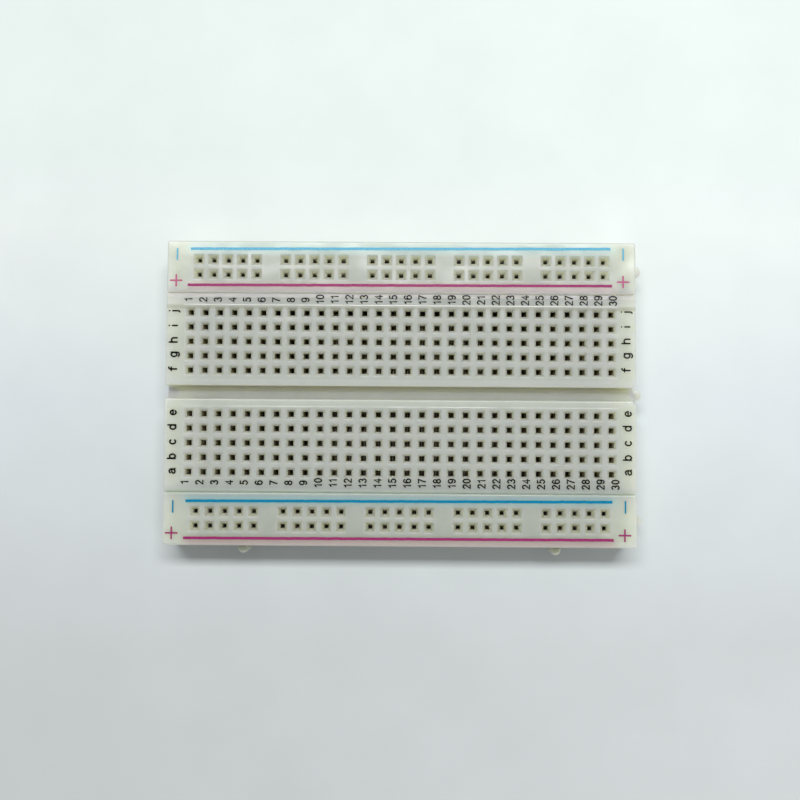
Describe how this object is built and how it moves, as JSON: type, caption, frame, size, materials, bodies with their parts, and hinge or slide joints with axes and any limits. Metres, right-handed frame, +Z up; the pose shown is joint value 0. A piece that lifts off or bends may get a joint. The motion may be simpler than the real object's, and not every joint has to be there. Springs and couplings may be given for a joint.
{
  "type": "solderless breadboard",
  "caption": "Half-size solderless breadboard: terminal block with a centre trench between two contact banks, and two clip-on power rails with printed polarity lines.",
  "frame": {"origin": "on the underside of the terminal block's release liner, below the middle of the contact grid (between columns 15 and 16, and between rows e and f)", "axes": "+X along the columns from 1 to 30, +Y from row a to row j, +Z up out of the sockets"},
  "size_m": [0.0836, 0.0548, 0.0096],
  "materials": {
    "housing": "satin",
    "contact_metal": "satin",
    "foam_tape": "matte",
    "liner_paper": "satin",
    "blue_ink": "satin",
    "magenta_ink": "satin",
    "black_ink": "satin"
  },
  "bodies": {
    "upper_rail": {"upper_rail_block": "housing", "upper_rail_foam_pad": "foam_tape", "upper_rail_release_liner": "liner_paper", "upper_rail_minus_bus_clip": "contact_metal", "upper_rail_plus_bus_clip": "contact_metal"},
    "terminal_strip": {"terminal_block": "housing", "terminal_foam_pad": "foam_tape", "terminal_release_liner": "liner_paper", "clips_a_e_01_02": "contact_metal", "clips_a_e_03_04": "contact_metal", "clips_a_e_05_06": "contact_metal", "clips_a_e_07_08": "contact_metal", "clips_a_e_09_10": "contact_metal", "clips_a_e_11_12": "contact_metal", "clips_a_e_13_14": "contact_metal", "clips_a_e_15_16": "contact_metal", "clips_a_e_17_18": "contact_metal", "clips_a_e_19_20": "contact_metal", "clips_a_e_21_22": "contact_metal", "clips_a_e_23_24": "contact_metal", "clips_a_e_25_26": "contact_metal", "clips_a_e_27_28": "contact_metal", "clips_a_e_29_30": "contact_metal", "clips_f_j_01_02": "contact_metal", "clips_f_j_03_04": "contact_metal", "clips_f_j_05_06": "contact_metal", "clips_f_j_07_08": "contact_metal", "clips_f_j_09_10": "contact_metal", "clips_f_j_11_12": "contact_metal", "clips_f_j_13_14": "contact_metal", "clips_f_j_15_16": "contact_metal", "clips_f_j_17_18": "contact_metal", "clips_f_j_19_20": "contact_metal", "clips_f_j_21_22": "contact_metal", "clips_f_j_23_24": "contact_metal", "clips_f_j_25_26": "contact_metal", "clips_f_j_27_28": "contact_metal", "clips_f_j_29_30": "contact_metal"},
    "lower_rail": {"lower_rail_block": "housing", "lower_rail_foam_pad": "foam_tape", "lower_rail_release_liner": "liner_paper", "lower_rail_minus_bus_clip": "contact_metal", "lower_rail_plus_bus_clip": "contact_metal"}
  },
  "joints": [
    {"name": "terminal_strip_lift", "type": "slide", "parent": "upper_rail", "child": "terminal_strip", "axis": [0, 0, 1], "range_m": [0, 0.01]},
    {"name": "lower_rail_lift", "type": "slide", "parent": "terminal_strip", "child": "lower_rail", "axis": [0, 0, 1], "range_m": [0, 0.01]}
  ]
}
